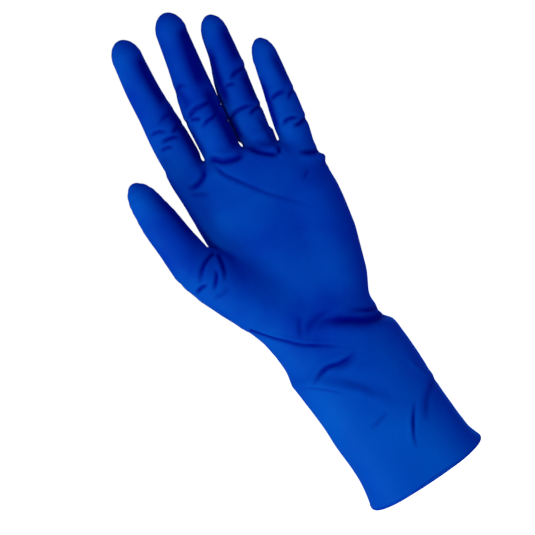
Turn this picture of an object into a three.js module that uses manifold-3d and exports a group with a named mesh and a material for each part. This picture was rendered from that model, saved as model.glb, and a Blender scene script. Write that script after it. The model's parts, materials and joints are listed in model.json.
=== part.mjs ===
// A long-cuffed dipped rubber glove, in the shape that it takes on an open left hand.
// The glove is one hollow film with a rolled bead round its opening. The film is divided where it
// bends, at the wrist and at the roots and knuckles of its five stalls, so each length is a shell of
// its own that turns on the hinge line of the bend below it.
// Millimetres. The origin is the middle of the cuff's opening, in the plane of the bead. +Z runs up
// the cuff to the fingertips, -Y is the palm side, and the thumb is at -X.
import * as THREE from "three";
import { mergeVertices } from "three/addons/utils/BufferGeometryUtils.js";
import Module from "manifold-3d";

const wasm = await Module();
wasm.setup();

// Film thickness, thickest at the stalls as on a dipped glove.
const CUFF_FILM = 0.3;
const HAND_FILM = 0.35;
const STALL_FILM = 0.4;
// Clearance between neighbouring shells.
const GAP = 0.35;
// Flattening of a stall: its depth over its width.
const STALL_DEPTH = 0.87;
const THUMB_DEPTH = 0.9;
// Sides of the round sections and of the hinge cutters.
const STALL_SIDES = 16;
const BODY_SIDES = 28;
const CUTTER_SIDES = 20;
const WRIST_CUTTER_SIDES = 36;
// Length of a cutter, past anything it has to clear.
const REACH = 90;
// Step between the angles at which a bending stall is cleared from the shell below it.
const CLEARING_STEP = 17;

const BEAD = { radius: 1.25, halfWidth: 36.6, halfDepth: 27.8, steps: 36, sides: 8 };

// The hinge line of the wrist, and how far the hand bends back and forward on it.
const WRIST = { x: -1, y: 0, z: 99, halfWidth: 34.6, halfDepth: 23.6, bend: [-45, 55] };

// Cross-sections of the cuff, from the bead to past the wrist: height, middle, half width, half depth.
const CUFF_RINGS = [
  { z: 2.9, x: 0, y: 0, halfWidth: 36.2, halfDepth: 27.4 },
  { z: 12, x: 0.2, y: 0, halfWidth: 35.2, halfDepth: 27 },
  { z: 30, x: 0.6, y: 0, halfWidth: 34.4, halfDepth: 26.6 },
  { z: 52, x: 0.8, y: 0, halfWidth: 34.3, halfDepth: 26.2 },
  { z: 76, x: 0, y: 0, halfWidth: 35, halfDepth: 25.6 },
  { z: 92, x: -0.8, y: 0, halfWidth: 33.8, halfDepth: 24.6 },
  { z: 112, x: -1, y: 0, halfWidth: 33, halfDepth: 24 },
];

// Cross-sections of the hand, from below the wrist to the roots of the fingers. fall is how much
// lower a section lies for each millimetre towards the little finger, as the row of roots does.
const HAND_RINGS = [
  { z: 70, x: -0.2, y: 0, halfWidth: 34, halfDepth: 23.3 },
  { z: 90, x: -0.8, y: 0, halfWidth: 33, halfDepth: 23.3 },
  { z: 99, x: -1, y: 0, halfWidth: 32.6, halfDepth: 23.2 },
  { z: 114, x: 0.4, y: 0, halfWidth: 35, halfDepth: 21.6 },
  { z: 132, x: 4, y: 0, halfWidth: 38.6, halfDepth: 19.8 },
  { z: 152, x: 7, y: 0, halfWidth: 40.6, halfDepth: 18, fall: 0.05 },
  { z: 174, x: 9.8, y: 0, halfWidth: 42, halfDepth: 16.2, fall: 0.15 },
  { z: 190, x: 11.4, y: 0, halfWidth: 42, halfDepth: 14.2, fall: 0.28 },
  { z: 207, x: 12.6, y: 0, halfWidth: 41.2, halfDepth: 11, fall: 0.4 },
];

// The ball of the thumb: a swelling that runs from the heel of the hand to the thumb's root.
const THENAR = { from: [-17, -5, 104], halfWidth: 18, rootWidth: 12.8, depth: 0.85 };

// Each stall has a root on its first hinge line, the lengths between its hinges and to its tip, the
// lean of each length towards the little finger and towards the palm, in degrees from +Z, its half
// width at each hinge and near the tip, and the range of each hinge in degrees. turn is how far its
// palm side faces the little finger.
const STALLS = {
  index: {
    root: [-16.8, 0, 226],
    lengths: [19.1, 26.6, 33],
    lean: [4.5, 7, 8.5],
    curl: [3, 6, 8],
    halfWidths: [10.9, 10.5, 9.5, 8.6],
    bends: [[-15, 65], [0, 80], [0, 40]],
  },
  middle: {
    root: [7.3, 0, 225],
    lengths: [22.3, 27.8, 29],
    lean: [9, 13.5, 12],
    curl: [3, 6, 8],
    halfWidths: [10.6, 10.2, 9.6, 8.9],
    bends: [[-15, 65], [0, 80], [0, 40]],
  },
  ring: {
    root: [28.4, 0, 217],
    lengths: [20.3, 24.7, 28],
    lean: [8, 13, 11.5],
    curl: [3, 6, 8],
    halfWidths: [9, 9.7, 9.1, 8],
    bends: [[-15, 65], [0, 80], [0, 40]],
  },
  little: {
    root: [47.8, 0, 210.5],
    lengths: [16.2, 17, 19],
    lean: [14, 12.5, 9.5],
    curl: [3, 6, 8],
    halfWidths: [9.1, 8.6, 7.8, 7],
    bends: [[-15, 65], [0, 80], [0, 40]],
  },
  thumb: {
    root: [-43.7, -11.3, 174],
    lengths: [25.4, 31.5],
    lean: [-4.8, -5.2],
    curl: [8, 11],
    turn: 12,
    depth: THUMB_DEPTH,
    halfWidths: [12.2, 11.3, 9.8],
    bends: [[-15, 35], [0, 55]],
  },
};
const SECTION_NAMES = { 2: ["base", "tip"], 3: ["base", "middle", "tip"] };

const FILM_MATERIAL = new THREE.MeshStandardMaterial({
  color: new THREE.Color(0.0, 0.28, 0.68),
  roughness: 0.52,
  metalness: 0,
});
const BEAD_MATERIAL = new THREE.MeshStandardMaterial({
  color: new THREE.Color(0.0, 0.22, 0.6),
  roughness: 0.48,
  metalness: 0,
});

const radians = THREE.MathUtils.degToRad;

// A closed geometry, moved by a matrix, as a solid that faces outwards.
function solid(geometry, matrix = new THREE.Matrix4()) {
  const bare = new THREE.BufferGeometry();
  bare.setAttribute("position", geometry.getAttribute("position"));
  bare.setIndex(geometry.index);
  const merged = mergeVertices(bare.applyMatrix4(matrix), 1e-4);
  const vertProperties = merged.attributes.position.array;
  const triVerts = new Uint32Array(merged.index.array);
  const made = new wasm.Manifold(new wasm.Mesh({ numProp: 3, vertProperties, triVerts }));
  if (made.volume() > 0) return made;
  return new wasm.Manifold(new wasm.Mesh({ numProp: 3, vertProperties, triVerts: triVerts.reverse() }));
}

// A solid as a named mesh.
function named(name, made, material) {
  const { numProp, vertProperties, triVerts } = made.getMesh();
  const count = vertProperties.length / numProp;
  const places = new Float32Array(count * 3);
  for (let i = 0; i < count; i++) places.set(vertProperties.subarray(i * numProp, i * numProp + 3), i * 3);
  const geometry = new THREE.BufferGeometry();
  geometry.setAttribute("position", new THREE.BufferAttribute(places, 3));
  geometry.setIndex(new THREE.BufferAttribute(triVerts, 1));
  geometry.computeVertexNormals();
  const mesh = new THREE.Mesh(geometry, material);
  mesh.name = name;
  return mesh;
}

// A solid through elliptical cross-sections that lie one above the other, thinned all round.
function loft(rings, thinned) {
  const places = [];
  const faces = [];
  for (const ring of rings) {
    for (let k = 0; k < BODY_SIDES; k++) {
      const angle = (2 * Math.PI * k) / BODY_SIDES;
      const across = (ring.halfWidth - thinned) * Math.cos(angle);
      const deep = (ring.halfDepth - thinned) * Math.sin(angle);
      places.push(ring.x + across, ring.y + deep, ring.z - (ring.fall ?? 0) * across);
    }
  }
  for (let j = 0; j + 1 < rings.length; j++) {
    for (let k = 0; k < BODY_SIDES; k++) {
      const a = j * BODY_SIDES + k;
      const b = j * BODY_SIDES + ((k + 1) % BODY_SIDES);
      faces.push(a, b, b + BODY_SIDES, a, b + BODY_SIDES, a + BODY_SIDES);
    }
  }
  const top = (rings.length - 1) * BODY_SIDES;
  for (let k = 1; k + 1 < BODY_SIDES; k++) faces.push(0, k + 1, k, top, top + k, top + k + 1);
  const geometry = new THREE.BufferGeometry();
  geometry.setAttribute("position", new THREE.Float32BufferAttribute(places, 3));
  geometry.setIndex(faces);
  return solid(geometry);
}

// A round solid on +Z from [radius, height] pairs that start and end on the axis, flattened in Y.
function turned(profile, flattening, matrix) {
  const points = profile.map(([radius, height]) => new THREE.Vector2(radius, height));
  const geometry = new THREE.LatheGeometry(points, STALL_SIDES);
  geometry.rotateX(Math.PI / 2).scale(1, flattening, 1);
  return solid(geometry, matrix);
}

// The frame of a length of a stall: X along its hinge line, Y to the back of the hand, Z along it.
function lengthFrame(origin, lean, curl, turn) {
  const along = new THREE.Vector3(0, 0, 1);
  const frame = new THREE.Matrix4().makeTranslation(...origin);
  frame.multiply(new THREE.Matrix4().makeRotationY(radians(lean)));
  frame.multiply(new THREE.Matrix4().makeRotationAxis(along, radians(turn)));
  frame.multiply(new THREE.Matrix4().makeRotationX(radians(curl)));
  return frame;
}

// The hinges of a stall, from its root: the frame of the length that turns on each, and its size.
function hingesOf({ root, lengths, lean, curl, halfWidths, bends, turn = 0, depth = STALL_DEPTH }) {
  const hinges = [];
  let origin = new THREE.Vector3(...root);
  lengths.forEach((length, j) => {
    const frame = lengthFrame(origin, lean[j], curl[j], turn);
    const halfWidth = halfWidths[j];
    hinges.push({ frame, length, halfWidth, halfDepth: halfWidth * depth, bend: bends[j], depth });
    origin = new THREE.Vector3(0, 0, length).applyMatrix4(frame);
  });
  return hinges;
}

// A cylinder along the hinge line, round the hinge.
function hingeDrum(hinge, extra) {
  const radius = hinge.halfDepth + extra;
  const width = 2 * (hinge.halfWidth + 1);
  const sides = hinge.sides ?? CUTTER_SIDES;
  const geometry = new THREE.CylinderGeometry(radius, radius, width, sides).rotateZ(Math.PI / 2);
  return solid(geometry, hinge.frame);
}

// What a shell loses at the hinge that it turns on: all that lies behind the hinge line and
// outside the drum, so that its end is round and rolls in the shell below.
function rollingCut(hinge) {
  const size = REACH * 2;
  const behind = new THREE.BoxGeometry(size, size, REACH).translate(0, 0, -REACH / 2);
  return solid(behind, hinge.frame).subtract(hingeDrum(hinge, 0));
}

// What the shell below loses: the drum with clearance, and the way of the turning shell.
function clearingCut(hinge, sideRoom = 0.9) {
  const [back, forward] = hinge.bend;
  const width = 2 * (hinge.halfWidth + sideRoom);
  const thick = 2 * (hinge.halfDepth + GAP);
  let cut = hingeDrum(hinge, GAP);
  const steps = Math.ceil((forward - back) / CLEARING_STEP);
  for (let i = 0; i <= steps; i++) {
    const angle = radians(back + ((forward - back) * i) / steps);
    const way = new THREE.BoxGeometry(width, thick, REACH).translate(0, 0, REACH / 2);
    const turnedFrame = hinge.frame.clone().multiply(new THREE.Matrix4().makeRotationX(angle));
    cut = cut.add(solid(way, turnedFrame));
  }
  return cut;
}

// The outline of a stall's length between two hinges, or of its closed end.
function lengthProfile(hinge, nextHalfWidth, closed, thinned, over) {
  const start = hinge.halfWidth - thinned;
  const end = nextHalfWidth - thinned;
  if (!closed) {
    const top = hinge.length + over;
    return [[0, -over], [start, -over], [start, 0], [end, hinge.length], [end, top], [0, top]];
  }
  // The closed end is a dome, a little longer than it is wide.
  const domeHeight = nextHalfWidth * 1.25 - thinned;
  const shoulder = hinge.length - thinned - domeHeight;
  const profile = [[0, -over], [start, -over], [start, 0]];
  const steps = 6;
  for (let i = 0; i <= steps; i++) {
    const angle = (Math.PI / 2) * (i / steps);
    profile.push([i === steps ? 0 : end * Math.cos(angle), shoulder + domeHeight * Math.sin(angle)]);
  }
  return profile;
}

// One length of a stall as a hollow shell with a rolling end below and, unless it is the tip, an
// end above that clears the next length.
function stallShell(hinge, next, nextHalfWidth) {
  const over = hinge.halfWidth + 2;
  const outer = turned(lengthProfile(hinge, nextHalfWidth, !next, 0, over), hinge.depth, hinge.frame);
  const hollow = lengthProfile(hinge, nextHalfWidth, !next, STALL_FILM, over + 1);
  let shell = outer.subtract(turned(hollow, hinge.depth, hinge.frame)).subtract(rollingCut(hinge));
  if (next) shell = shell.subtract(clearingCut(next));
  return largest(shell);
}

// The swelling at the thumb's root, from the heel of the hand up to the thumb's first hinge.
function thenar(hinge, thinned) {
  const from = new THREE.Vector3(...THENAR.from);
  const root = new THREE.Vector3().setFromMatrixPosition(hinge.frame);
  const length = from.distanceTo(root);
  const up = new THREE.Vector3(0, 0, 1);
  const turn = new THREE.Quaternion().setFromUnitVectors(up, root.sub(from).normalize());
  const matrix = new THREE.Matrix4().compose(from, turn, new THREE.Vector3(1, 1, 1));
  const wide = THENAR.halfWidth - thinned;
  const narrow = THENAR.rootWidth - thinned;
  const profile = [[0, thinned], [wide * 0.62, 3 + thinned], [wide * 0.92, length * 0.22]];
  profile.push([wide, length * 0.48], [narrow, length], [narrow, length + 12], [0, length + 12]);
  return turned(profile, THENAR.depth, matrix);
}

// The root of a finger, which joins its first hinge to the hand.
function rootStub(hinge, thinned) {
  const radius = hinge.halfWidth - thinned;
  const down = -22 + thinned;
  const profile = [[0, down], [radius * 0.9, down], [radius, -8], [radius, 4], [0, 4]];
  return turned(profile, hinge.depth, hinge.frame);
}

function handShell(wrist, stallHinges) {
  const roots = Object.entries(stallHinges);
  const body = (thinned) => {
    const top = HAND_RINGS.at(-1);
    let made = loft([...HAND_RINGS.slice(0, -1), { ...top, z: top.z - thinned }], thinned);
    for (const [name, [first]] of roots) {
      made = made.add(name === "thumb" ? thenar(first, thinned) : rootStub(first, thinned));
    }
    return made;
  };
  // The hollow runs on through the open lower end.
  const opening = HAND_RINGS.slice(0, 2).map((ring) => ({ ...ring, z: ring.z - 1 }));
  let shell = body(0).subtract(body(HAND_FILM)).subtract(loft(opening, HAND_FILM));
  shell = shell.subtract(rollingCut(wrist));
  for (const [, hinges] of roots) shell = shell.subtract(clearingCut(hinges[0]));
  return largest(shell);
}

// The largest of the separate bodies of a solid, because a cut can leave a loose sliver.
function largest(made) {
  return made.decompose().reduce((a, b) => (b.volume() > a.volume() ? b : a));
}

function cuffShell(wrist) {
  const opening = CUFF_RINGS.map((ring, i) => (i ? ring : { ...ring, z: ring.z - 1 }));
  opening[opening.length - 1] = { ...opening.at(-1), z: opening.at(-1).z + 1 };
  const sleeve = loft(CUFF_RINGS, 0).subtract(loft(opening, CUFF_FILM));
  return largest(sleeve.subtract(clearingCut(wrist, 3)));
}

// The bead: the film's edge rolled up into a solid ring.
function beadRing() {
  class Rim extends THREE.Curve {
    getPoint(t, target = new THREE.Vector3()) {
      const angle = 2 * Math.PI * t;
      return target.set(BEAD.halfWidth * Math.cos(angle), BEAD.halfDepth * Math.sin(angle), BEAD.radius);
    }
  }
  return solid(new THREE.TubeGeometry(new Rim(), BEAD.steps, BEAD.radius, BEAD.sides, true));
}

const wrist = {
  frame: new THREE.Matrix4().makeTranslation(WRIST.x, WRIST.y, WRIST.z),
  sides: WRIST_CUTTER_SIDES,
  ...WRIST,
};
const stallHinges = {};
for (const [name, stall] of Object.entries(STALLS)) stallHinges[name] = hingesOf(stall);

const glove = new THREE.Group();
glove.add(named("cuff_bead", beadRing(), BEAD_MATERIAL));
glove.add(named("cuff_sleeve", cuffShell(wrist), FILM_MATERIAL));
glove.add(named("hand", handShell(wrist, stallHinges), FILM_MATERIAL));
for (const [name, hinges] of Object.entries(stallHinges)) {
  const sections = SECTION_NAMES[hinges.length];
  hinges.forEach((hinge, j) => {
    const shell = stallShell(hinge, hinges[j + 1], STALLS[name].halfWidths[j + 1]);
    glove.add(named(`${name}_${sections[j]}`, shell, FILM_MATERIAL));
  });
}

export default glove;
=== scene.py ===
"""A long-cuffed blue rubber glove in the shape that it takes on an open left hand.

The glove is one dipped film with a rolled bead. The film is made as one surface, the zero level of a
distance field round the hand inside it, then creased, given its thickness, and divided halfway
between the hinges into pieces that meet without a seam.
Lengths in the shape code are millimetres; +Z runs to the fingertips and -Y is the palm side.
"""
import json
import math

import bpy
import numpy as np
from mathutils import Matrix, Vector

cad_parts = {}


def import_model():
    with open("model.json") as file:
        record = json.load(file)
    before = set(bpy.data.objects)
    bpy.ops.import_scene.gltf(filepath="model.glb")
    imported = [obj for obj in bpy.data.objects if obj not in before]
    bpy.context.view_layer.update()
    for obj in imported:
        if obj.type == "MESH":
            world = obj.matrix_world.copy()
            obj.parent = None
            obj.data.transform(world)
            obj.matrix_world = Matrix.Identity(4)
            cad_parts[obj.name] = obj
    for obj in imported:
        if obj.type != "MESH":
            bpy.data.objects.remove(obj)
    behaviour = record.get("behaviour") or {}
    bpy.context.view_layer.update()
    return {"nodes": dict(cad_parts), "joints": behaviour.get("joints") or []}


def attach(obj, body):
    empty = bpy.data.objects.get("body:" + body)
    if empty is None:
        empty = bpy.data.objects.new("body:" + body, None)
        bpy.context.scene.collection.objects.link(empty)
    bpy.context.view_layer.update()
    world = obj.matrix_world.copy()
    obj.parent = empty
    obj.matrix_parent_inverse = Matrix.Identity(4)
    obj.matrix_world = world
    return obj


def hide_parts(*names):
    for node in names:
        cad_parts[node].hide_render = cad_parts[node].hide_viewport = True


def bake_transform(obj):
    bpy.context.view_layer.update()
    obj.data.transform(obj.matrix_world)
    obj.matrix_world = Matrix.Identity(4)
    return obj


MM = 0.001

# The camera: the point it looks at, how far off it stands, its roll and how wide it sees.
CAMERA_AIM = (-9.4, 0.0, 149.0)
CAMERA_DISTANCE = 620.0
CAMERA_ROLL = math.radians(34)
VIEW_WIDTH = 309.5
SENSOR_WIDTH = 36.0

FLOOR_HEIGHT = -260.0
FLOOR_SIZE = 9000.0

# The film's thickness, the height of its lower edge, how far below that the bead's middle lies, and
# the size of the film's faces.
FILM = 0.4
RIM_HEIGHT = 1.2
BEAD_DROP = 0.3
VOXEL = 0.8
# The box that the film's surface is looked for in.
FILM_BOX = ((-66.0, -36.0, RIM_HEIGHT - VOXEL / 2), (72.0, 34.0, 309.0))

# How the surface is evened out: the rounds, the share of each drift that is taken, the longest step
# back to the surface, and the least slope that such a step goes by.
SMOOTHING_ROUNDS = 3
DRIFT_SHARE = 0.6
LONGEST_STEP = 0.6
LEAST_STEEPNESS = 0.3

# Cross-sections of the cuff and the palm: height, left, right, depth to the palm side and to the back.
BODY_SECTIONS = [
    (-4, -37.6, 38.2, 28.2, 28.0),
    (2, -36.9, 37.9, 27.9, 27.8),
    (8, -35.8, 36.1, 27.5, 27.4),
    (16, -34.7, 35.5, 27.2, 27.2),
    (26, -34.2, 35.3, 27.0, 27.0),
    (40, -34.2, 34.7, 26.8, 26.6),
    (52, -34.0, 34.8, 26.6, 26.0),
    (64, -34.8, 35.3, 26.6, 25.6),
    (74, -35.5, 35.5, 26.4, 25.2),
    (82, -35.5, 34.7, 25.6, 24.8),
    (88, -34.6, 32.8, 24.6, 24.4),
    (94, -33.7, 31.0, 23.6, 23.8),
    (102, -32.9, 30.8, 22.8, 23.2),
    (110, -33.2, 33.4, 22.2, 22.6),
    (120, -33.4, 37.2, 21.6, 21.6),
    (132, -32.8, 41.0, 20.8, 20.4),
    (146, -31.8, 45.0, 19.2, 19.2),
    (160, -31.0, 48.8, 17.6, 18.0),
    (174, -31.2, 51.4, 16.2, 16.8),
    (183, -31.0, 53.6, 15.3, 15.9),
    (191, -30.6, 52.8, 14.5, 14.9),
    (204, -28.6, 54.4, 13.4, 13.4),
    (222, -27.6, 55.4, 12.4, 12.2),
]
# How square the cuff and the palm are in section: 2 is an ellipse.
ROUNDNESS = ((60, 110), (2.5, 2.15))

# The line of the webs between the fingers, as (x, height), and how softly they join the palm.
WEB_LINE = [(-30, 225), (-4.5, 217.8), (18.5, 213.0), (36.8, 204.0), (60, 191)]
WEB_SLOPE = 0.366
WEB_SOFTNESS = 4.5

# Each stall: half widths at distances along it from its root hinge, the length over which its tip rounds
# off, how far it is moved from the hinge line and its root once more, how far it then leans on its
# neighbour, where it is parted from the palm, and its depth as a share of its width.
STALLS = {
    "index": {
        "sections": ("base", "middle", "tip"),
        "widths": [(-26, 9.8), (-10, 10.8), (0, 11.4), (9, 11.6), (19, 11.3), (29, 10.6), (37, 10.1),
                   (44, 9.8), (54, 9.4), (66, 8.8)],
        "tip": 12.5,
        "shift": (-0.3, -0.4),
        "root_shift": 0.2,
        "lean": (0.8, 0.0),
        "root_cut": -2.6,
        "flatness": 0.9,
    },
    "middle": {
        "sections": ("base", "middle", "tip"),
        "widths": [(-26, 10.2), (-10, 10.8), (0, 11.4), (10, 11.6), (20, 11.7), (30, 11.2), (38, 10.5),
                   (48, 9.8), (58, 9.4), (66, 9.1)],
        "tip": 12.5,
        "shift": (-0.6, -1.8),
        "root_shift": 0.3,
        "lean": (0.0, -0.6),
        "root_cut": -3.8,
        "flatness": 0.9,
    },
    "ring": {
        "sections": ("base", "middle", "tip"),
        "widths": [(-24, 8.8), (-10, 9.3), (0, 10.1), (10, 10.5), (20, 10.7), (30, 10.7), (40, 10.1),
                   (50, 8.9), (60, 8.1)],
        "tip": 13.0,
        "shift": (0.8, 2.2),
        "root_shift": -0.5,
        "lean": (-1.5, 0.8),
        "root_cut": -2.4,
        "flatness": 0.9,
    },
    "little": {
        "sections": ("base", "middle", "tip"),
        "widths": [(-30, 8.2), (-12, 9.2), (0, 9.6), (9, 9.4), (16, 9.0), (25, 8.5), (33, 8.0), (39, 7.5)],
        "tip": 13.0,
        "shift": (0.7, -0.6),
        "root_shift": -0.2,
        "lean": (-0.3, 0.0),
        "root_cut": -4.6,
        "flatness": 0.9,
    },
    "thumb": {
        "sections": ("base", "tip"),
        "widths": [(0, 12.8), (8, 12.3), (16, 11.7), (25, 11.4), (32, 10.9), (38, 9.9)],
        "tip": 18.5,
        "shift": (0.0, 0.0),
        "root_shift": 0.0,
        "lean": (0.0, 0.0),
        "root_cut": 2.6,
        "flatness": 0.92,
    },
}
# How far above its root cut a stall takes up its lean, and where it gives it back.
LEAN_LENGTH = 4.0
LEAN_END = (30.0, 56.0)
# The ball of the thumb, from the heel of the hand to its root hinge: place and half width.
THENAR = [
    ((-17, -7.5, 106), 13.5),
    ((-20, -8.5, 120), 14.6),
    ((-25.5, -9.5, 133), 15.8),
    ((-31.5, -10.5, 147), 16.2),
    ((-37, -11.2, 159), 15.6),
    ((-41.2, -11.4, 168), 14.1),
]
# How softly the thumb joins the hand at two heights: a rounded heel below, and a narrow web above.
THUMB_WEB = ((150, 172), (12.0, 2.5))
# The heel of the hand below the little finger.
HYPOTHENAR = [((24, -6, 124), 12.5), ((32, -5.5, 145), 12.5), ((37, -4.5, 168), 11.0)]
HEEL_FLATNESS = 0.95
# How softly the palm joins its heel, and ends in the line of the webs.
PALM_SOFTNESS = 10.0
# Limits that keep the palm's field finite near its middle.
CORE = 0.05
LEAST_SLOPE = 0.2


def unit(vector):
    vector = np.asarray(vector, float)
    return vector / np.linalg.norm(vector)


# ---------------------------------------------------------------- the hand inside, from the frame

def stall_chain(frame, name):
    """The places of a stall's hinges and of its tip, the same moved by its shift, and its first axis."""
    hinges = {j["name"]: j for j in frame["joints"]}
    sections = STALLS[name]["sections"]
    places = [np.array(hinges[f"{name}_{s}_bend"]["pos_m"]) / MM for s in sections]
    tip = np.array([v.co for v in frame["nodes"][f"{name}_{sections[-1]}"].data.vertices]) / MM
    heading = unit(tip.mean(axis=0) - places[-1])
    places.append(tip[(tip @ heading).argmax()])
    across = unit(hinges[f"{name}_{sections[0]}_bend"]["axis"])
    moved = np.array(places) + [*STALLS[name]["shift"], 0.0]
    moved[0, 0] += STALLS[name]["root_shift"]
    return np.array(places), moved, across


def along_chain(chain, distance):
    """The point at a distance along a chain, which runs on straight past both of its ends."""
    lengths = np.linalg.norm(np.diff(chain, axis=0), axis=1)
    starts = np.concatenate([[0.0], np.cumsum(lengths)])
    k = int(np.clip(np.searchsorted(starts, distance, side="right") - 1, 0, len(lengths) - 1))
    direction = (chain[k + 1] - chain[k]) / lengths[k]
    return chain[k] + direction * (distance - starts[k])


def rounded_chain(chain, distance, reach=7.0):
    """The same, with its corners rounded off."""
    return np.mean([along_chain(chain, distance + d) for d in np.linspace(-reach, reach, 7)], axis=0)


def stall_tube(frame, name, spacing=5.0):
    """The stations of a stall's tube, the direction across it and its flatness."""
    stall = STALLS[name]
    _, chain, across = stall_chain(frame, name)
    total = np.linalg.norm(np.diff(chain, axis=0), axis=1).sum()
    distances, widths = smooth_table(stall["widths"], spacing)
    last, tip = widths[-1, 0], stall["tip"]
    # The tip is half an ellipsoid, which is the hull of balls that shrink towards its end.
    focus = math.sqrt(tip**2 - last**2)
    for share in (0.25, 0.5, 0.75, 1.0):
        beyond_widest = share * focus**2 / tip
        distances = np.append(distances, total - tip + beyond_widest)
        widths = np.append(widths, [[last * math.sqrt(1 - (beyond_widest / focus) ** 2)]], axis=0)
    stations = [(rounded_chain(chain, d), w) for d, w in zip(distances, widths[:, 0])]
    if name == "thumb":
        stations = [(np.array(p, float), w) for p, w in THENAR] + stations
    return stations, across, stall["flatness"]


# ---------------------------------------------------------------- distance fields

def smooth_min(a, b, soften):
    h = np.maximum(soften - np.abs(a - b), 0) / soften
    return np.minimum(a, b) - h * h * soften / 4


def smooth_max(a, b, soften):
    return -smooth_min(-a, -b, soften)


def smooth_step(value, low, high):
    t = np.clip((value - low) / (high - low), 0, 1)
    return t * t * (3 - 2 * t)


def smooth_table(rows, step=0.5):
    """Rows of (place, values...) as a fine table through them, without corners."""
    rows = np.array(rows, float)
    places = rows[:, 0]
    slopes = np.gradient(rows[:, 1:], places, axis=0)
    fine = np.arange(places[0], places[-1] + step / 2, step)
    k = np.clip(np.searchsorted(places, fine, side="right") - 1, 0, len(places) - 2)
    width = (places[k + 1] - places[k])[:, None]
    t = ((fine - places[k])[:, None]) / width
    h00, h10 = 2 * t**3 - 3 * t**2 + 1, t**3 - 2 * t**2 + t
    h01, h11 = -2 * t**3 + 3 * t**2, t**3 - t**2
    a, b = rows[k, 1:], rows[k + 1, 1:]
    return fine, h00 * a + h10 * width * slopes[k] + h01 * b + h11 * width * slopes[k + 1]


BODY_HEIGHTS, BODY_VALUES = smooth_table(BODY_SECTIONS)


def body_field(p):
    """Distance to the cuff and the palm, which end above in the line of the webs."""
    x, y, z = p[:, 0], p[:, 1], p[:, 2]
    left, right, front, back = (np.interp(z, BODY_HEIGHTS, BODY_VALUES[:, i]) for i in range(4))
    half = (right - left) / 2
    depth = np.where(y < 0, front, back)
    n = np.interp(z, *ROUNDNESS)
    u, v = np.abs(x - (left + right) / 2) / half, np.abs(y) / depth
    q = np.maximum((u**n + v**n) ** (1 / n), CORE)
    slope = q ** (1 - n) * np.sqrt((u ** (n - 1) / half) ** 2 + (v ** (n - 1) / depth) ** 2)
    side = (q - 1) / np.maximum(slope, LEAST_SLOPE / half)
    top = (z - np.interp(x, *zip(*WEB_LINE))) / math.hypot(1, WEB_SLOPE)
    return smooth_max(side, top, PALM_SOFTNESS)


def tube_field(p, stations, across, flatness, reach=16.0):
    """Distance to a tube through stations, flattened square to across. Far points get reach."""
    centres = np.array([c for c, _ in stations])
    widths = np.array([w for _, w in stations])
    room = widths.max() + reach
    near = ((p > centres.min(0) - room) & (p < centres.max(0) + room)).all(axis=1)
    q = p[near]
    best = np.full(len(q), reach)
    for k in range(len(stations) - 1):
        a, b = centres[k], centres[k + 1]
        ab = b - a
        t = np.clip((q - a) @ ab / (ab @ ab), 0, 1)
        width = widths[k] + (widths[k + 1] - widths[k]) * t
        off = q - (a + t[:, None] * ab)
        normal = unit(np.cross(ab, across))
        deep = off @ normal
        best = np.minimum(best, np.sqrt((off**2).sum(1) + deep**2 * (1 / flatness**2 - 1)) - width)
    distance = np.full(len(p), reach)
    distance[near] = best
    return distance


def make_field(frame):
    """The distance to the glove's outside, as a function of points."""
    tubes = {name: stall_tube(frame, name) for name in STALLS}
    heel = [(np.array(c, float), w) for c, w in HYPOTHENAR]
    level = np.array([1.0, 0.0, 0.0])

    def field(p):
        fingers = np.min([tube_field(p, *tubes[n]) for n in STALLS if n != "thumb"], axis=0)
        palm_heel = tube_field(p, heel, level, HEEL_FLATNESS)
        hand = smooth_min(body_field(p), palm_heel, PALM_SOFTNESS)
        hand = smooth_min(hand, tube_field(p, *tubes["thumb"]), np.interp(p[:, 2], *THUMB_WEB))
        return smooth_min(hand, fingers, WEB_SOFTNESS)

    return field


# ---------------------------------------------------------------- the surface of a field

# The corners of a cell of the grid.
CORNERS = [(i, j, k) for i in (0, 1) for j in (0, 1) for k in (0, 1)]


def field_values(field, axes):
    """The field at every point of a grid."""
    shape = tuple(len(a) for a in axes)
    values = np.empty(shape, np.float32)
    across = np.stack(np.meshgrid(axes[0], axes[1], indexing="ij"), axis=-1).reshape(-1, 2)
    for k, z in enumerate(axes[2]):
        layer = np.column_stack([across, np.full(len(across), z)])
        values[:, :, k] = field(layer).reshape(shape[:2])
    return values


def at_corner(values, corner):
    """The values at the same corner of every cell of a grid."""
    return values[tuple(slice(c, n - 1 + c) for c, n in zip(corner, values.shape))]


def net_points(values, active):
    """A point for each active cell: the mean of where the surface crosses its edges, counted in cells."""
    cells = np.argwhere(active)
    total = np.zeros((len(cells), 3))
    hits = np.zeros(len(cells))
    for a in CORNERS:
        for axis in range(3):
            if a[axis]:
                continue
            b = tuple(c + (1 if i == axis else 0) for i, c in enumerate(a))
            va, vb = at_corner(values, a)[active], at_corner(values, b)[active]
            crossed = (va < 0) != (vb < 0)
            t = np.where(crossed, va / np.where(crossed, va - vb, 1), 0)
            point = np.tile(np.array(a, float), (len(cells), 1))
            point[:, axis] += t
            total += np.where(crossed[:, None], point, 0)
            hits += crossed
    return cells + total / hits[:, None]


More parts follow.
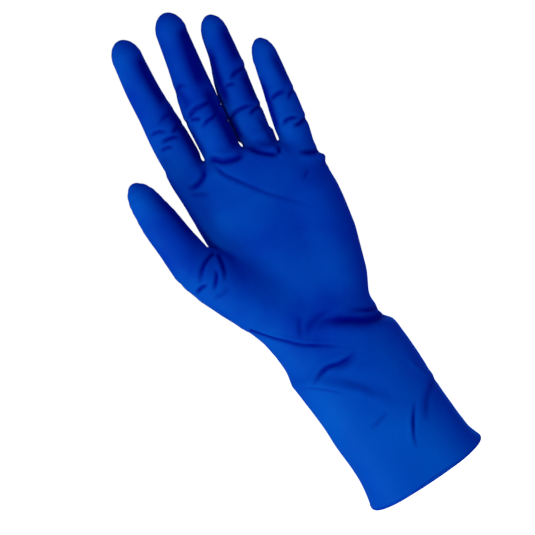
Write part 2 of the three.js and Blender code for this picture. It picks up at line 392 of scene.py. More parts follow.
def net_faces(inside, number, axis):
    """The faces that the grid's lines along one axis pass through, by the numbers of their points."""
    shape = inside.shape
    u, v = [i for i in range(3) if i != axis]
    inner = [slice(1, n - 1) for n in shape]
    inner[axis] = slice(0, shape[axis] - 1)
    ahead = list(inner)
    ahead[axis] = slice(1, shape[axis])
    change = inside[tuple(inner)].astype(np.int8) - inside[tuple(ahead)].astype(np.int8)
    where = np.argwhere(change != 0)
    sign = change[change != 0]
    where[:, u] += 1
    where[:, v] += 1
    quad = []
    for du, dv in ((-1, -1), (0, -1), (0, 0), (-1, 0)):
        cell = where.copy()
        cell[:, u] += du
        cell[:, v] += dv
        quad.append(number[cell[:, 0], cell[:, 1], cell[:, 2]])
    quad = np.stack(quad, axis=1)
    flip = (sign > 0) == (axis == 1)
    quad[flip] = quad[flip][:, ::-1]
    return quad


def surface_net(field, low, high, step):
    """The zero level of a field as points and four-sided faces that look outwards."""
    values = field_values(field, [np.arange(low[i], high[i] + step, step) for i in range(3)])
    inside = values < 0
    count = sum(at_corner(inside, c).astype(np.int8) for c in CORNERS)
    active = (count > 0) & (count < len(CORNERS))
    points = net_points(values, active)
    number = np.full(active.shape, -1, np.int64)
    number[active] = np.arange(len(points))
    faces = np.concatenate([net_faces(inside, number, axis) for axis in range(3)])
    return np.array(low) + points * step, faces[(faces >= 0).all(axis=1)]


def neighbour_mean(values, faces):
    """The mean of each point's neighbours along the edges of the faces."""
    total = np.zeros((len(values), 3))
    count = np.zeros(len(values))
    for k in range(4):
        a, b = faces[:, k], faces[:, (k + 1) % 4]
        for i, j in ((a, b), (b, a)):
            for c in range(3):
                total[:, c] += np.bincount(i, values[j, c], len(values))
            count += np.bincount(i, minlength=len(values))
    return total / count[:, None]


def slope_of(field, points, step=0.15):
    slopes = np.empty_like(points)
    for i in range(3):
        ahead, behind = points.copy(), points.copy()
        ahead[:, i] += step
        behind[:, i] -= step
        slopes[:, i] = (field(ahead) - field(behind)) / (2 * step)
    return slopes


def settle(field, points, faces):
    """Evens the points out along the surface and puts them on its zero level."""
    open_edge = boundary_points(points, faces)
    for _ in range(SMOOTHING_ROUNDS):
        slopes = slope_of(field, points)
        normals = slopes / np.linalg.norm(slopes, axis=1)[:, None]
        drift = neighbour_mean(points, faces) - points
        drift -= (drift * normals).sum(1)[:, None] * normals
        drift[open_edge] = 0
        points = points + drift * DRIFT_SHARE
        distance = field(points)
        steepness = np.maximum((slopes * normals).sum(1), LEAST_STEEPNESS)
        step = np.clip(distance / steepness, -LONGEST_STEP, LONGEST_STEP)
        points = points - step[:, None] * normals
    return points


def boundary_edges(faces):
    """Edges that only one face has, in that face's direction."""
    a = faces.ravel()
    b = np.roll(faces, -1, axis=1).ravel()
    size = faces.max() + 1
    key = a * size + b
    back = b * size + a
    alone = ~np.isin(key, back)
    return np.column_stack([a[alone], b[alone]])


def boundary_points(points, faces):
    marked = np.zeros(len(points), bool)
    marked[boundary_edges(faces).ravel()] = True
    return marked


def point_normals(points, faces):
    """Each point's normal, from the faces round it by their area."""
    diagonals = points[faces[:, 2]] - points[faces[:, 0]], points[faces[:, 3]] - points[faces[:, 1]]
    normals = np.cross(*diagonals)
    total = np.zeros_like(points)
    for k in range(4):
        for c in range(3):
            total[:, c] += np.bincount(faces[:, k], normals[:, c], len(points))
    return total / np.maximum(np.linalg.norm(total, axis=1), 1e-9)[:, None]


# ---------------------------------------------------------------- creases and folds

# How much painted shade a crease gets for its depth, the width past which it gets less, and the most that
# it gets.
PAINTED_SHADE_PER_DEPTH = 1.3
PAINTED_SHADE_WIDTH = 1.6
DARKEST_PAINTED_SHADE = 1.1
# How far a crease reaches, and how far off and how wide the rise beside it is, in widths of the crease.
CREASE_REACH = 5
RISE_PLACE = 2.1
RISE_WIDTH = 1.5
# How soon a crease is at its full depth past its ends.
END_POWER = 0.8
# How far the film may face away from a crease's side and still take part of it.
FACING_EDGE = 0.3
# The height of the slack waves on the cuff, how much lower they are on the hand, and the height at which
# they start to be lower and the length that this takes.
WAVE_HEIGHT = 0.16
WAVE_DROP = 0.1
WAVE_FADE = (100, 40)


def crease(points, depth, width, rise=0.0, fade=(0.3, 0.3), painted_shade_strength=None):
    """A crease along points (x, height), by how deep it is pressed in and how wide, and a rise beside it.

    The rise is to the left of the way that the crease runs, or to the right if it's below zero. A
    depth below zero makes a ridge. Fade is the share of the length over which each end dies away.
    The painted shade strength is how much painted shade darkens the film along the crease, which by itself
    goes by how deep and narrow it is.
    """
    if painted_shade_strength is None:
        painted_shade_strength = min(PAINTED_SHADE_PER_DEPTH * max(depth, 0.0) * min(PAINTED_SHADE_WIDTH / width, 1.0), DARKEST_PAINTED_SHADE)
    return {"points": points, "depth": depth, "width": width, "rise": rise, "fade": fade, "painted_shade_strength": painted_shade_strength}


INDEX_CREASES = [
    crease([(-24.5, 250.2), (-19, 249.8), (-13, 247)], 0.75, 1.1, 0.2),
    crease([(-20.5, 243.6), (-14.5, 242.6), (-8.5, 240.4)], 1.19, 1.1, 0.3),
    crease([(-12, 243.8), (-8.5, 245.2), (-2, 244.8)], 1.12, 1.3, 0.3, (0.3, 0.0)),
    crease([(-24, 239.2), (-19.5, 239.2), (-15, 237.2)], 0.75, 1.0, 0.2),
    crease([(-16, 253), (-10, 254.5), (-2, 254.2)], 0.62, 1.6, 0.0, (0.4, 0.0)),
    crease([(-9, 263), (-2, 262)], 0.5, 1.5, 0.0, (0.5, 0.0)),
    crease([(-6.6, 219), (-10.5, 213.5), (-17, 211.2), (-23, 212.5)], 1.2, 1.6, -0.9, (0.25, 0.3), 1.1),
    crease([(-24, 209.2), (-19, 206.5), (-13, 203)], 0.44, 1.4),
]
MIDDLE_CREASES = [
    crease([(0, 246.2), (6, 248.3), (13, 247.8), (21, 247)], 1.25, 1.4, 0.5, (0.15, 0.2)),
    crease([(0.5, 245.2), (4, 243.6), (7, 241.8)], 0.88, 1.1, 0.0, (0.2, 0.3)),
    crease([(3.5, 237.3), (9, 238.6), (15.5, 239.2), (20.5, 241.8)], 0.88, 1.2, 0.2),
    crease([(16, 243.6), (19, 242.6), (23, 242.2)], 0.62, 1.1, 0.0, (0.3, 0.0)),
    crease([(2, 262), (7, 264.5), (11, 262)], 0.62, 1.5, 0.0, (0.0, 0.4)),
    # the root of the middle finger, with extra painted shade for the shadow that falls there
    crease([(-4, 219.8), (-0.5, 218.4), (4, 214.3), (9.5, 211.9), (14, 211.4), (17, 212.6)],
           1.4, 1.8, 0.9, (0.15, 0.2), 1.2),
]
RING_CREASES = [
    crease([(20, 232.4), (26, 234), (31, 233.6), (37.5, 231.6)], 1.25, 1.2, 0.4, (0.0, 0.3)),
    crease([(31, 228), (35.5, 229), (42, 228.4)], 1.0, 1.1, 0.3, (0.3, 0.0)),
    crease([(26.5, 250.2), (31, 249.4), (35.5, 247.3)], 0.88, 1.2, 0.2),
    crease([(33, 250.8), (38, 252.8), (47, 251.6)], 1.0, 1.4, 0.3, (0.3, 0.0)),
    crease([(20, 213.5), (24.2, 207.5), (29, 202.7), (33.5, 199.4)], 1.3, 1.5, 0.9, (0.2, 0.2)),
    crease([(35.8, 204.5), (33.2, 199.8)], 1.12, 1.4, 0.3, (0.3, 0.3)),
]
LITTLE_CREASES = [
    crease([(44, 228.4), (50, 229.2), (58, 227.8)], 0.88, 1.5, 0.2),
    crease([(54.5, 222.8), (58, 225), (62, 226)], 0.75, 1.1, 0.0, (0.4, 0.0)),
    crease([(43, 212.8), (48, 213.6), (55, 211.2)], 1.12, 1.2, 0.3),
    crease([(48.5, 208.6), (53, 207.8), (59, 208.6)], 1.12, 1.2, 0.3, (0.3, 0.0)),
    crease([(43, 194.4), (48.5, 191), (57, 186.5)], 1.8, 1.6, -0.9, (0.35, 0.0)),
    crease([(49, 181.5), (54, 180.5), (58, 179)], 1.25, 1.8, 0.3, (0.5, 0.0), 0.5),
    crease([(36.3, 179.8), (43.5, 183.8)], 0.44, 1.1),
]
THUMB_CREASES = [
    crease([(-29, 173.8), (-34, 172.8), (-39.5, 170.4), (-44, 166.6), (-47.5, 163)],
           1.2, 1.3, 0.4, (0.1, 0.4)),
    crease([(-28.7, 172.3), (-29.2, 167), (-31, 161), (-34, 156)], 1.38, 1.3, -0.4, (0.1, 0.5)),
    crease([(-53, 159), (-47.5, 160.6), (-43, 160.2)], 1.0, 1.1, 0.2),
    crease([(-34, 165.5), (-37.5, 160), (-42.5, 155.2)], 0.88, 1.2, 0.2),
    crease([(-46, 151.3), (-39, 150.8), (-33, 152.2)], 0.38, 1.3),
]
# Slack film along the side of each finger that is turned from the thumb, darkened with painted shade
# because that side is turned away from the lamps on the left.
FLANK_CREASES = [
    crease([(-1.5, 293), (-4, 284), (-5, 272), (-5, 258)], 0.8, 3.2, -0.4, (0.15, 0.2), 1.1),
    crease([(-5, 262), (-5.5, 246), (-6.3, 232), (-8, 217)], 0.6, 2.8, -0.3, (0.2, 0.2), 1.0),
    crease([(28.5, 292), (24.5, 280), (21, 268), (18.5, 255)], 0.9, 4.2, -0.4, (0.1, 0.2), 1.2),
    crease([(19, 258), (18, 245), (16.8, 232), (14.5, 216)], 0.7, 3.0, -0.4, (0.2, 0.1), 1.2),
    crease([(3.5, 266), (5, 256), (3.5, 250)], 0.4, 2.6, 0.0, (0.3, 0.3), 0.6),
    crease([(-1.5, 244), (-2.5, 234), (-3.5, 222)], 0.3, 2.2, 0.0, (0.3, 0.2), 0.8),
    crease([(48, 281), (46.2, 270), (44.3, 257)], 0.8, 3.4, -0.3, (0.3, 0.2), 1.1),
    crease([(34, 275), (29.5, 262), (26.5, 250), (24, 238)], 0.6, 3.2, 0.2, (0.2, 0.2), 1.0),
    crease([(43.2, 253), (40.8, 241), (38.6, 231)], 0.5, 3.0, 0.0, (0.3, 0.3), 1.0),
    crease([(21.3, 236), (20, 226), (19.3, 217)], 0.5, 2.2, 0.2, (0.3, 0.2), 1.0),
    crease([(35.5, 226), (35, 214), (34.5, 204)], 0.4, 1.8, 0.0, (0.3, 0.3), 0.7),
    crease([(63, 252), (61.8, 241), (60.5, 229)], 0.7, 2.4, -0.3, (0.3, 0.3), 0.8),
    crease([(48, 244), (45, 230), (41.5, 218), (38, 208)], 0.4, 2.4, 0.0, (0.2, 0.2), 1.0),
    crease([(-40.5, 224), (-36.5, 208), (-35, 195), (-34.5, 180)], 0.8, 3.0, -0.4, (0.3, 0.3), 0.8),
]
PALM_CREASES = [
    crease([(-2.2, 217), (0, 208), (3.6, 202), (9, 193.5), (15, 184.5), (23, 175), (33, 163)],
           0.6, 1.2, -0.15, (0.1, 0.8)),
]
WRIST_CREASES = [
    crease([(-38, 124), (-30, 113.3), (-24, 107), (-17, 100), (-9, 94.3), (1.5, 87)],
           0.9, 0.9, 0.5, (0.0, 0.3)),
    crease([(37, 89.2), (28, 89.6), (21, 92.3), (14, 97.2), (8, 101), (2, 104.3), (-6, 105)],
           1.8, 3.1, 0.7, (0.0, 0.35), 1.15),
    crease([(3, 107), (9, 103.6), (16, 99.6), (23, 95.2), (33, 90.5)], -0.7, 1.1, 0.0, (0.4, 0.0)),
    crease([(-13, 103), (-7, 107.5), (1, 109), (9, 107.5)], 0.7, 2.4, 0.3),
    crease([(-16, 104), (-13, 110), (-9, 116)], 0.5, 1.8, 0.2),
    crease([(16, 103), (25, 96.5), (36, 91.5)], 0.9, 1.8, 0.4, (0.5, 0.0)),
    crease([(-25, 77.5), (-20, 80.3), (-13, 81.6), (-6, 79.8), (1, 79.2), (8, 80)], 1.0, 1.5, 0.5),
    crease([(-12, 80.5), (-3, 78), (6, 78.5)], 0.7, 2.6, -0.3, (0.4, 0.4), 0.6),
]
CUFF_CREASES = [
    crease([(-36, 84.5), (-25, 78), (-15, 69), (-7, 62), (-1, 55), (3, 48), (5.5, 41)],
           -1.4, 4.0, 0.0, (0.0, 0.5)),
    crease([(-20, 80), (-8, 70.5), (0, 62), (6, 53), (9, 44)], 0.7, 4.5, 0.0, (0.3, 0.5), 0.12),
    crease([(-31, 80.5), (-20, 70.5), (-12, 62.5)], 0.35, 0.8),
    crease([(-9, 71.5), (-2.5, 61.5), (3.5, 51)], 0.5, 2.6, 0.0, (0.3, 0.3), 0.15),
    crease([(4.2, 13.2), (6, 19.5), (9.3, 25.5), (13.5, 31.5), (18.5, 37.2)], 0.8, 1.0, 0.4, (0.5, 0.4)),
    crease([(17.5, 23.5), (21, 29), (25.5, 34.5), (31, 39), (38, 44)], 0.8, 2.0, 0.3, (0.3, 0.0), 0.5),
    crease([(-12.5, 38.3), (-5, 39), (2.5, 41.2)], 0.3, 1.3),
    crease([(28.5, 62), (30, 52), (34.5, 41)], -0.6, 1.8),
]
# The palm side's creases are placed where the camera sees them, and the back's by x and height.
FRONT_CREASES = (INDEX_CREASES + MIDDLE_CREASES + RING_CREASES + LITTLE_CREASES + THUMB_CREASES
                 + FLANK_CREASES + PALM_CREASES + WRIST_CREASES + CUFF_CREASES)
BACK_CREASES = [
    # over the middle knuckles of the fingers
    crease([(-21, 246), (-15, 248), (-9, 246.5)], 0.5, 1.4, 0.3),
    crease([(-20, 241), (-15, 242), (-10, 241)], 0.45, 1.3, 0.2),
    crease([(4, 248), (11, 250), (18, 248.5)], 0.5, 1.4, 0.3),
    crease([(4, 243), (10, 244.5), (17, 243)], 0.45, 1.3, 0.2),
    crease([(25, 239), (31, 240.5), (38, 239.5)], 0.5, 1.4, 0.3),
    crease([(46, 227), (52, 228.5), (58, 228)], 0.5, 1.3, 0.3),
    # the back of the hand, drawn from the thumb's root and the wrist
    crease([(-38, 166), (-24, 150), (-12, 132), (-6, 114)], 0.9, 2.6, 0.5),
    crease([(-34, 150), (-22, 132), (-14, 112)], 0.7, 2.4, 0.4),
    crease([(36, 170), (30, 146), (22, 122)], 0.5, 2.6, 0.3),
    crease([(20, 190), (15, 170), (13, 150)], 0.5, 2.0, 0.3),
    # wrist
    crease([(37, 89.2), (26, 93), (10, 96), (-6, 93), (-20, 95)], 1.6, 2.6, 0.7, (0.0, 0.4)),
    crease([(-38, 124), (-30, 112), (-22, 101), (-8, 103), (6, 106)], 1.0, 2.0, 0.5, (0.0, 0.3)),
    crease([(12, 84), (22, 80), (36, 82)], 0.9, 2.4, 0.4),
    # cuff
    crease([(-36, 84.5), (-26, 72), (-18, 62), (-10, 48), (-7, 34)], 0.9, 2.4, 0.5, (0.0, 0.3)),
    crease([(38, 48), (28, 50), (18, 44), (13, 36), (14, 20)], 0.8, 2.2, 0.5, (0.0, 0.3)),
    crease([(-24, 28), (-20, 16), (-19, 6)], 0.5, 1.6, 0.3),
]


def curve_points(points, spacing=0.5):
    """A smooth curve through a crease's points, as close points along it."""
    points = np.array(points, float)
    lengths = np.concatenate([[0], np.cumsum(np.linalg.norm(np.diff(points, axis=0), axis=1))])
    _, fine = smooth_table(np.column_stack([lengths, points]), spacing)
    return fine


def crease_profile(plane, made):
    """How far a crease lowers each point of the film, and the painted shade that it puts on each point."""
    depth, width, rise = made["depth"], made["width"], made["rise"]
    curve = curve_points(made["points"])
    reach = CREASE_REACH * width
    near = ((plane > curve.min(0) - reach) & (plane < curve.max(0) + reach)).all(axis=1)
    index = np.flatnonzero(near)
    lowered, shade = np.zeros(len(plane)), np.zeros(len(plane))
    if not len(index):
        return lowered, shade
    off = plane[index][:, None, :] - curve[None]
    nearest = (off**2).sum(-1).argmin(1)
    off = off[np.arange(len(index)), nearest]
    heading = np.gradient(curve, axis=0)[nearest]
    side = heading[:, 0] * off[:, 1] - heading[:, 1] * off[:, 0]
    distance = np.linalg.norm(off, axis=1)
    signed = np.where(side < 0, -distance, distance)
    share = nearest / (len(curve) - 1)
    start, end = (np.clip(s / f, 0, 1) if f else 1.0 for s, f in zip((share, 1 - share), made["fade"]))
    strength = (start * end) ** END_POWER
    valley = np.exp(-((distance / width) ** 2)) * strength
    rise_middle = math.copysign(RISE_PLACE * width, rise)
    beside = np.exp(-(((signed - rise_middle) / (RISE_WIDTH * width)) ** 2)) * strength
    lowered[index] = depth * valley - abs(rise) * beside
    # painted shade, darkest in the crease's valley
    shade[index] = valley * made["painted_shade_strength"]
    return lowered, shade


def undulation(points):
    """The film's slackness: low waves of a few centimetres, stronger on the cuff than on the hand."""
    x, y, z = points.T
    waves = np.sin(x / 6.1 + z / 9.7) + np.sin(x / 9.3 - z / 7.1 + 2.1) + np.sin(y / 7.7 + z / 13.0 + 0.6)
    start, length = WAVE_FADE
    return waves * (WAVE_HEIGHT - WAVE_DROP * np.clip((z - start) / length, 0, 1))


def seen_from_camera(points):
    """Where the camera sees each point, as (x, height) on the plane through the middle of the glove."""
    aim = np.array([CAMERA_AIM[0], CAMERA_AIM[2]])
    enlarged = CAMERA_DISTANCE / (CAMERA_DISTANCE + points[:, 1])
    return aim + (points[:, [0, 2]] - aim) * enlarged[:, None]


def crease_film(points, normals):
    """The points with every crease pressed in, and the painted shade that the creases put on each, from 0
    to 1.
    """
    front = (FRONT_CREASES, -normals[:, 1], seen_from_camera(points))
    back = (BACK_CREASES, normals[:, 1], points[:, [0, 2]])
    lowered, shade = undulation(points), np.zeros(len(points))
    for creases, facing, plane in (front, back):
        share = np.clip((facing + FACING_EDGE) / (2 * FACING_EDGE), 0, 1)
        for made in creases:
            down, dark = crease_profile(plane, made)
            lowered += down * share
            shade = np.maximum(shade, dark * share)
    return points - normals * lowered[:, None], np.clip(shade, 0, 1)


# ---------------------------------------------------------------- dividing the film

# How far from a hinge a cut may be.
CUT_REACH = 9.2
# The heights at which the wrist's piece ends.
WRIST_CUTS = (74.0, 124.0)


def stall_planes(frame, name):
    """A stall's cuts as (point, direction) from its root, and its hinges' places."""
    places, _, _ = stall_chain(frame, name)
    cuts = []
    first = unit(places[1] - places[0])
    cuts.append((places[0] + first * STALLS[name]["root_cut"], first))
    for k in range(1, len(places) - 1):
        below, above = places[k] - places[k - 1], places[k + 1] - places[k]
        length = np.linalg.norm(below)
        share = 0.5 if k > 1 or len(places) == 3 else (length - CUT_REACH) / length
        cuts.append((places[k - 1] + below * share, unit(below)))
    return cuts, places


def beyond(points, cut):
    return (points - cut[0]) @ cut[1] > 0


def connected(faces, allowed, seed):
    """The allowed faces that can be reached from a seed face over shared corners."""
    reached = np.zeros(faces.max() + 1, bool)
    reached[faces[seed]] = True
    waiting = np.flatnonzero(allowed)
    while True:
        touching = reached[faces[waiting]].any(axis=1)
        if not touching.any():
            break
        reached[faces[waiting[touching]]] = True
        waiting = waiting[~touching]
    found = allowed.copy()
    found[waiting] = False
    return found


def stall_faces(frame, points, faces):
    """For each stall, which of the film's faces lie beyond its root cut."""
    middles = points[faces].mean(axis=1)
    found = {}
    for name in STALLS:
        cuts, places = stall_planes(frame, name)
        seed = np.linalg.norm(middles - places[-1], axis=1).argmin()
        found[name] = connected(faces, beyond(middles, cuts[0]), seed)
    return found


def lean_stalls(frame, points, faces, own_faces):
    """Moves the lower half of each stall onto its neighbour, from nothing at its root cut."""
    for name, own in own_faces.items():
        index = np.unique(faces[own])
        cut = stall_planes(frame, name)[0][0]
        height = (points[index] - cut[0]) @ cut[1]
        share = smooth_step(height, 0.0, LEAN_LENGTH) - smooth_step(height, *LEAN_END)
        points[index, :2] += share[:, None] * np.array(STALLS[name]["lean"])
    return points


def divide(frame, points, faces, own_faces):
    """The film's faces by piece name: the cuff, the wrist, the palm, and the lengths of each stall."""
    middles = points[faces].mean(axis=1)
    piece = np.full(len(faces), "palm", dtype=object)
    piece[middles[:, 2] < WRIST_CUTS[1]] = "wrist"
    piece[middles[:, 2] < WRIST_CUTS[0]] = "cuff"
    for name, own in own_faces.items():
        cuts, _ = stall_planes(frame, name)
        for section, cut in zip(STALLS[name]["sections"], cuts):
            piece[own & beyond(middles, cut)] = f"{name}_{section}"
    return piece


# ---------------------------------------------------------------- materials

# The colour sockets of a mix node: its two inputs and its output.
COLOUR_A, COLOUR_B, COLOUR_OUT = 6, 7, 2


def node(tree, kind, **inputs):
    """A new node with its inputs set, each named with _ for a space."""
    made = tree.nodes.new(kind)
    for name, value in inputs.items():
        made.inputs[name.replace("_", " ")].default_value = value
    return made


def ramp(tree, source, stops):
    made = tree.nodes.new("ShaderNodeValToRGB")
    elements = made.color_ramp.elements
    while len(elements) < len(stops):
        elements.new(0.5)
    for element, (place, colour) in zip(elements, stops):
        element.position = place
        element.color = (*colour, 1)
    tree.links.new(source, made.inputs["Fac"])
    return made.outputs["Color"]


def mixed(tree, share, a, b):
    made = tree.nodes.new("ShaderNodeMix")
    made.data_type = "RGBA"
    sockets = made.inputs["Factor"], made.inputs[COLOUR_A], made.inputs[COLOUR_B]
    for socket, value in zip(sockets, (share, a, b)):
        if isinstance(value, bpy.types.NodeSocket):
            tree.links.new(value, socket)
        else:
            socket.default_value = (*value, 1)
    return made.outputs[COLOUR_OUT]


# Latex dipped blue: the deep blue is painted shade in the creases, and the brighter, greener blue is where
# the film is drawn thin, partly as painted highlight.
PAINTED_SHADE_BLUE = (0.0, 0.004, 0.26)
BLUE = (0.0, 0.046, 0.42)
BRIGHT = (0.0, 0.12, 0.53)


def latex(name):
    """Satin latex film with cloudy colour, a fine skin texture, painted shade in the creases and painted
    highlight in some of the places where it is drawn thin.
    """
    material = bpy.data.materials.new(name)
    material.use_nodes = True
    tree = material.node_tree
    shader = tree.nodes["Principled BSDF"]
    place = tree.nodes.new("ShaderNodeNewGeometry").outputs["Position"]
    cloud = node(tree, "ShaderNodeTexNoise", Scale=26.0, Detail=3.0, Roughness=0.5)
    tree.links.new(place, cloud.inputs["Vector"])
    body = ramp(tree, cloud.outputs["Fac"], [(0.4, BLUE), (0.85, BRIGHT)])
    # lighter where the film is drawn thin, and painted highlight in the patches on the fingertips and the
    # right of the cuff
    stretch_and_highlight = tree.nodes.new("ShaderNodeAttribute")
    stretch_and_highlight.attribute_name = "stretch_and_highlight"
    body = mixed(tree, stretch_and_highlight.outputs["Fac"], body, BRIGHT)
    # painted shade: the film is darkened to the deep blue along the creases
    painted_shade = tree.nodes.new("ShaderNodeAttribute")
    painted_shade.attribute_name = "painted_shade"
    body = mixed(tree, painted_shade.outputs["Fac"], body, PAINTED_SHADE_BLUE)
    tree.links.new(body, shader.inputs["Base Color"])
    skin = node(tree, "ShaderNodeTexNoise", Scale=900.0, Detail=2.0, Roughness=0.6)
    tree.links.new(place, skin.inputs["Vector"])
    slack = node(tree, "ShaderNodeTexNoise", Scale=70.0, Detail=2.0, Roughness=0.5)
    tree.links.new(place, slack.inputs["Vector"])
    fine = node(tree, "ShaderNodeBump", Strength=0.12, Distance=0.0002)
    tree.links.new(skin.outputs["Fac"], fine.inputs["Height"])
    broad = node(tree, "ShaderNodeBump", Strength=0.35, Distance=0.0012)
    tree.links.new(slack.outputs["Fac"], broad.inputs["Height"])
    tree.links.new(fine.outputs["Normal"], broad.inputs["Normal"])
    tree.links.new(broad.outputs["Normal"], shader.inputs["Normal"])
    rough = node(tree, "ShaderNodeMapRange", From_Min=0.3, From_Max=0.7, To_Min=0.5, To_Max=0.62)
    tree.links.new(cloud.outputs["Fac"], rough.inputs["Value"])
    tree.links.new(rough.outputs["Result"], shader.inputs["Roughness"])
    shader.inputs["Specular IOR Level"].default_value = 0.1
    shader.inputs["Specular Tint"].default_value = (0.1, 0.6, 1, 1)
    shader.inputs["Sheen Weight"].default_value = 0.03
    shader.inputs["Sheen Roughness"].default_value = 0.4
    shader.inputs["Sheen Tint"].default_value = (0.0, 0.75, 0.8, 1)
    return material


# ---------------------------------------------------------------- pieces of film

def quad_mesh(name, places, faces):
    """A smooth mesh of four-sided faces."""
    mesh = bpy.data.meshes.new(name)
    mesh.vertices.add(len(places))
    mesh.vertices.foreach_set("co", places.astype(np.float32).ravel())
    mesh.loops.add(faces.size)
    mesh.loops.foreach_set("vertex_index", faces.ravel())
    mesh.polygons.add(len(faces))
    mesh.polygons.foreach_set("loop_start", np.arange(0, faces.size, 4, dtype=np.int32))
    mesh.update(calc_edges=True)
    mesh.polygons.foreach_set("use_smooth", np.ones(len(faces), bool))
    return mesh


def film_piece(name, points, faces, normals, values, material):
    """A closed piece of film: its outside, its inside and the edges that join them."""
    used = np.unique(faces)
    number = np.full(len(points), -1, np.int64)
    number[used] = np.arange(len(used))
    outer = number[faces]
    count = len(used)
    inner = outer[:, ::-1] + count
    rim = boundary_edges(outer)
    edge = np.column_stack([rim[:, 1], rim[:, 0], rim[:, 0] + count, rim[:, 1] + count])
    places = np.concatenate([points[used], points[used] - normals[used] * FILM]) * MM
    mesh = quad_mesh(name, places, np.concatenate([outer, inner, edge]).astype(np.int32))
    for key, value in values.items():
        attribute = mesh.attributes.new(key, "FLOAT", "POINT")
        attribute.data.foreach_set("value", np.tile(value[used], 2).astype(np.float32))
    outside = normals[used]
    cut = np.cross(places[edge[:, 2]] - places[edge[:, 0]], places[edge[:, 3]] - places[edge[:, 1]])
    cut /= np.maximum(np.linalg.norm(cut, axis=1), 1e-12)[:, None]
    corner_normals = np.concatenate([
        outside[outer.ravel()],
        -outside[inner.ravel() - count],
        np.repeat(cut, 4, axis=0),
    ])
    mesh.normals_split_custom_set(corner_normals.tolist())
    mesh.materials.append(material)
    piece = bpy.data.objects.new(name, mesh)
    bpy.context.scene.collection.objects.link(piece)
    return piece


# How thin the film is drawn round the forearm, the height below which it is, and the length that this
# takes.
FOREARM_THIN = 0.5
FOREARM_TOP = 105
FOREARM_FADE = 50
# Where the film is drawn thin besides, some of them painted highlight on the fingertips and the right of
# the cuff, as x, height, radius and how much lighter.
THIN_AND_HIGHLIGHT_PATCHES = [
    (24, 128, 14, 0.4), (-2, 140, 16, 0.2), (-30, 114, 8, 0.35), (-31, 97, 8, 0.4), (28, 71, 12, 0.5),
    (-27, 60, 12, 0.3), (-2, 34, 16, 0.35), (10, 8, 16, 0.35), (24, 22, 12, 0.45), (26, 48, 10, 0.35),
    (42, 160, 14, 0.3), (20, 175, 16, 0.2), (-24, 180, 12, 0.15), (20, 290, 7, 0.4), (-10, 294, 8, 0.35),
    (42, 281, 7, 0.5), (59, 254, 6, 0.3), (-49, 218, 9, 0.4),
]


def stretch_and_highlight_of(points):
    """Where the film is drawn thin, round the wearer's forearm and in patches, with painted highlight in
    the patches on the fingertips and the right of the cuff.
    """
    x, _, z = points.T
    thin = FOREARM_THIN * np.clip((FOREARM_TOP - z) / FOREARM_FADE, 0, 1)
    for place, height, radius, strength in THIN_AND_HIGHLIGHT_PATCHES:
        thin += strength * np.exp(-((x - place) ** 2 + (z - height) ** 2) / radius**2)
    return np.clip(thin, 0, 1)


def build_film(frame, field, material):
    """The glove's film, as pieces by name."""
    points, faces = surface_net(field, *FILM_BOX, VOXEL)
    points = settle(field, points, faces)
    own_faces = stall_faces(frame, points, faces)
    points = lean_stalls(frame, points, faces, own_faces)
    piece_of = divide(frame, points, faces, own_faces)
    points, painted_shade = crease_film(points, point_normals(points, faces))
    normals = point_normals(points, faces)
    # painted shade from the creases, and lightening where the film is drawn thin that is partly painted
    # highlight
    values = {"painted_shade": painted_shade, "stretch_and_highlight": stretch_and_highlight_of(points)}
    pieces = {}
    for name in sorted(set(piece_of)):
        faces_in = faces[piece_of == name]
        pieces[name] = film_piece(f"{name}_film", points, faces_in, normals, values, material)
    return pieces


def ride_film(frame, pieces):
    """The cuff rides on the cuff and the palm on the hand; the other pieces stay where they are made, and
    the model's parts are hidden.
    """
    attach(pieces["cuff"], "cuff")
    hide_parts("cuff_sleeve")
    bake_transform(pieces["wrist"])
    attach(pieces["palm"], "hand")
    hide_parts("hand")
    for name, stall in STALLS.items():
        cuts, places = stall_planes(frame, name)
        for k, section in enumerate(stall["sections"]):
            body = f"{name}_{section}"
            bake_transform(pieces[body])
            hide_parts(body)


def rim_outline(steps=160):
    """The film's outline at the bead, from the same sections as the cuff."""
    left, right, front, back = (np.interp(RIM_HEIGHT, BODY_HEIGHTS, BODY_VALUES[:, i]) for i in range(4))
    angle = np.linspace(0, 2 * math.pi, steps, endpoint=False)
    power = 2 / ROUNDNESS[1][0]
    across, deep = np.cos(angle), np.sin(angle)
    x = (left + right) / 2 + (right - left) / 2 * np.sign(across) * np.abs(across) ** power
    y = np.where(deep < 0, front, back) * np.sign(deep) * np.abs(deep) ** power
    return np.column_stack([x, y, np.full(steps, RIM_HEIGHT)]), angle


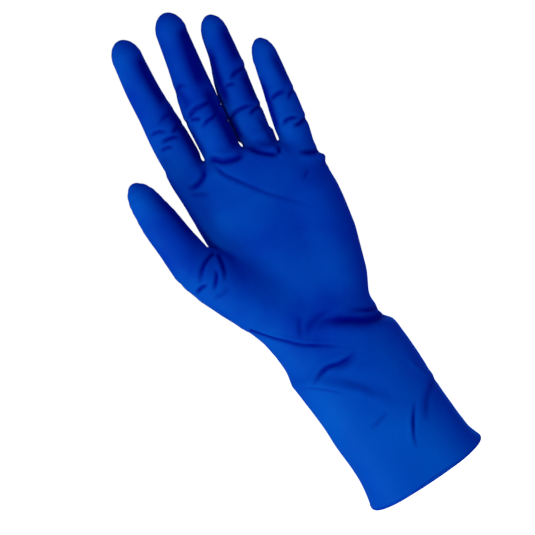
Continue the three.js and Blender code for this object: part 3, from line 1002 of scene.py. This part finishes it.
def bead_roll(material, sides=16, radius=1.2, proud=0.35):
    """The rolled bead, a little uneven in thickness, almost flush with the film outside it."""
    path, angle = rim_outline()
    ahead = np.roll(path, -1, axis=0) - np.roll(path, 1, axis=0)
    ahead /= np.linalg.norm(ahead, axis=1)[:, None]
    up = np.array([0.0, 0.0, 1.0])
    out = np.cross(ahead, up)
    thick = radius * (1 + 0.06 * np.sin(5 * angle + 1) + 0.04 * np.sin(11 * angle))
    centre = path - out * (thick - proud)[:, None] - up * BEAD_DROP
    rings = [
        centre + (np.cos(t) * thick)[:, None] * out + (np.sin(t) * thick)[:, None] * up
        for t in np.linspace(0, 2 * math.pi, sides, endpoint=False)
    ]
    places = np.stack(rings, axis=1).reshape(-1, 3) * MM
    steps = len(path)
    i, j = np.meshgrid(np.arange(steps), np.arange(sides), indexing="ij")
    i2, j2 = (i + 1) % steps, (j + 1) % sides
    faces = np.stack([i * sides + j, i2 * sides + j, i2 * sides + j2, i * sides + j2], axis=-1)
    mesh = bpy.data.meshes.new("cuff_bead_roll")
    mesh.from_pydata(places.tolist(), [], faces.reshape(-1, 4).tolist())
    mesh.update()
    mesh.polygons.foreach_set("use_smooth", np.ones(len(mesh.polygons), bool))
    mesh.materials.append(material)
    piece = bpy.data.objects.new("cuff_bead_roll", mesh)
    bpy.context.scene.collection.objects.link(piece)
    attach(piece, "cuff")
    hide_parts("cuff_bead")


# ---------------------------------------------------------------- camera, light and floor

# The colours of the direct light and of the light from all round.
KEY = (0.85, 1.0, 0.92)
AMBIENT = (0.12, 0.25, 1.0)
# The point that every lamp is turned to.
LAMP_AIM = (0, 0, 150)


def add_camera():
    """The camera looks square at the palm, rolled so that the fingers point up and to the left."""
    camera = bpy.data.cameras.new("camera")
    camera.sensor_width = SENSOR_WIDTH
    camera.lens = SENSOR_WIDTH * CAMERA_DISTANCE / VIEW_WIDTH
    camera.clip_end = 50.0
    holder = bpy.data.objects.new("camera", camera)
    bpy.context.scene.collection.objects.link(holder)
    right = Vector((math.cos(CAMERA_ROLL), 0, -math.sin(CAMERA_ROLL)))
    up = Vector((math.sin(CAMERA_ROLL), 0, math.cos(CAMERA_ROLL)))
    turn = Matrix((right, up, right.cross(up))).transposed().to_4x4()
    place = Vector(CAMERA_AIM) + Vector((0, -CAMERA_DISTANCE, 0))
    holder.matrix_world = Matrix.Translation(place * MM) @ turn
    bpy.context.scene.camera = holder


def add_lamp(name, place, size, power):
    lamp = bpy.data.lights.new(name, "AREA")
    lamp.shape = "DISK"
    lamp.size = size * MM
    lamp.energy = power
    lamp.color = KEY
    holder = bpy.data.objects.new(name, lamp)
    bpy.context.scene.collection.objects.link(holder)
    aim = Vector(LAMP_AIM) - Vector(place)
    turn = aim.to_track_quat("-Z", "Y").to_matrix().to_4x4()
    holder.matrix_world = Matrix.Translation(Vector(place) * MM) @ turn
    return holder


def add_studio():
    """A pale room: white seen directly, and a softer, dimmer light on the glove."""
    world = bpy.data.worlds.new("studio")
    bpy.context.scene.world = world
    world.use_nodes = True
    tree = world.node_tree
    tree.nodes.clear()
    output = tree.nodes.new("ShaderNodeOutputWorld")
    seen = node(tree, "ShaderNodeBackground", Color=(1, 1, 1, 1), Strength=1.0)
    lit = node(tree, "ShaderNodeBackground", Color=(*AMBIENT, 1), Strength=0.45)
    path = tree.nodes.new("ShaderNodeLightPath")
    mix = tree.nodes.new("ShaderNodeMixShader")
    tree.links.new(path.outputs["Is Camera Ray"], mix.inputs["Fac"])
    tree.links.new(lit.outputs["Background"], mix.inputs[1])
    tree.links.new(seen.outputs["Background"], mix.inputs[2])
    tree.links.new(mix.outputs["Shader"], output.inputs["Surface"])
    add_lamp("left", (-930, -480, -60), 380, 4.2)
    add_lamp("front", (-520, -880, 120), 380, 3.4)
    add_lamp("back", (400, 850, 500), 500, 7.0).visible_glossy = False


def add_floor():
    size = FLOOR_SIZE * MM
    mesh = bpy.data.meshes.new("floor")
    corners = [(-size, -size, 0), (size, -size, 0), (size, size, 0), (-size, size, 0)]
    mesh.from_pydata(corners, [], [(0, 1, 2, 3)])
    floor = bpy.data.objects.new("floor", mesh)
    floor.location.z = FLOOR_HEIGHT * MM
    bpy.context.scene.collection.objects.link(floor)
    material = bpy.data.materials.new("floor")
    material.use_nodes = True
    shader = material.node_tree.nodes["Principled BSDF"]
    shader.inputs["Base Color"].default_value = (0.93, 0.93, 0.93, 1)
    shader.inputs["Roughness"].default_value = 0.9
    shader.inputs["Emission Color"].default_value = (1, 1, 1, 1)
    shader.inputs["Emission Strength"].default_value = 1.0
    mesh.materials.append(material)
    # The floor is seen and isn't a lamp.
    floor.visible_diffuse = False
    floor.visible_glossy = False


def main():
    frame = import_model()
    bpy.context.scene.view_settings.view_transform = "Standard"
    add_camera()
    add_studio()
    add_floor()
    film = latex("film")
    pieces = build_film(frame, make_field(frame), film)
    ride_film(frame, pieces)
    bead_roll(latex("bead"))


main()
